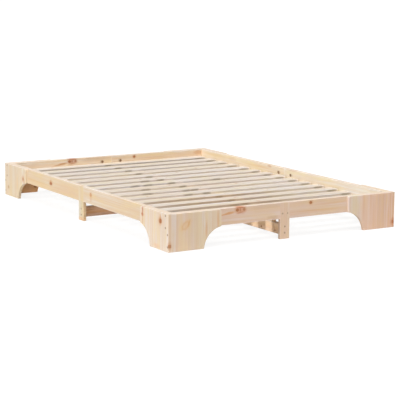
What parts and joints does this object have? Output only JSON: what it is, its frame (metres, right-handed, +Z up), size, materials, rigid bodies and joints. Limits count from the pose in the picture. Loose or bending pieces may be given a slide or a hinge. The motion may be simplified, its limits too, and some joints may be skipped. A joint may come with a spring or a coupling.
{
  "type": "floor bed",
  "caption": "Low pine floor bed frame with a row of slats, plain side boards, arched L-shaped corner legs and a middle leg on each side.",
  "frame": {"origin": "middle of the footprint, on the floor", "axes": "+Z up, X across the bed, Y along the bed, the front end at the lowest Y"},
  "size_m": [1.502, 2.112, 0.205],
  "materials": {
    "leg_pine": "sanded",
    "rail_pine": "sanded",
    "under_pine": "sanded",
    "slat_pine": "sanded",
    "dowel_wood": "turned",
    "screw_steel": "zinc plated",
    "cam_metal": "brown coating"
  },
  "bodies": {
    "root": {"back_left_leg_end_board": "leg_pine", "back_left_leg_side_board": "leg_pine", "back_mid_leg": "leg_pine", "back_rail_left_half": "rail_pine", "back_rail_right_half": "rail_pine", "back_right_leg_end_board": "leg_pine", "back_right_leg_side_board": "leg_pine", "beam_screws": "screw_steel", "bearer_block_1": "under_pine", "bearer_block_2": "under_pine", "bearer_block_3": "under_pine", "bearer_block_4": "under_pine", "bearer_screws": "screw_steel", "cam_barrels": "cam_metal", "cam_bolts": "screw_steel", "centre_bearer": "under_pine", "corner_dowels": "dowel_wood", "corner_screws": "screw_steel", "cross_beam": "under_pine", "end_board_screws": "screw_steel", "front_left_leg_end_board": "leg_pine", "front_left_leg_side_board": "leg_pine", "front_mid_leg": "leg_pine", "front_rail_left_half": "rail_pine", "front_rail_right_half": "rail_pine", "front_right_leg_end_board": "leg_pine", "front_right_leg_side_board": "leg_pine", "lap_screws": "screw_steel", "ledge_screws": "screw_steel", "left_mid_leg": "leg_pine", "left_rail_back_half": "rail_pine", "left_rail_front_half": "rail_pine", "left_slat_ledge": "under_pine", "long_beam": "under_pine", "mid_leg_dowels": "dowel_wood", "right_mid_leg": "leg_pine", "right_rail_back_half": "rail_pine", "right_rail_front_half": "rail_pine", "right_slat_ledge": "under_pine", "side_board_screws": "screw_steel", "slat_01": "slat_pine", "slat_02": "slat_pine", "slat_03": "slat_pine", "slat_04": "slat_pine", "slat_05": "slat_pine", "slat_06": "slat_pine", "slat_07": "slat_pine", "slat_08": "slat_pine", "slat_09": "slat_pine", "slat_10": "slat_pine", "slat_11": "slat_pine", "slat_12": "slat_pine", "slat_13": "slat_pine", "slat_14": "slat_pine", "slat_15": "slat_pine", "slat_screws": "screw_steel"}
  },
  "joints": []
}
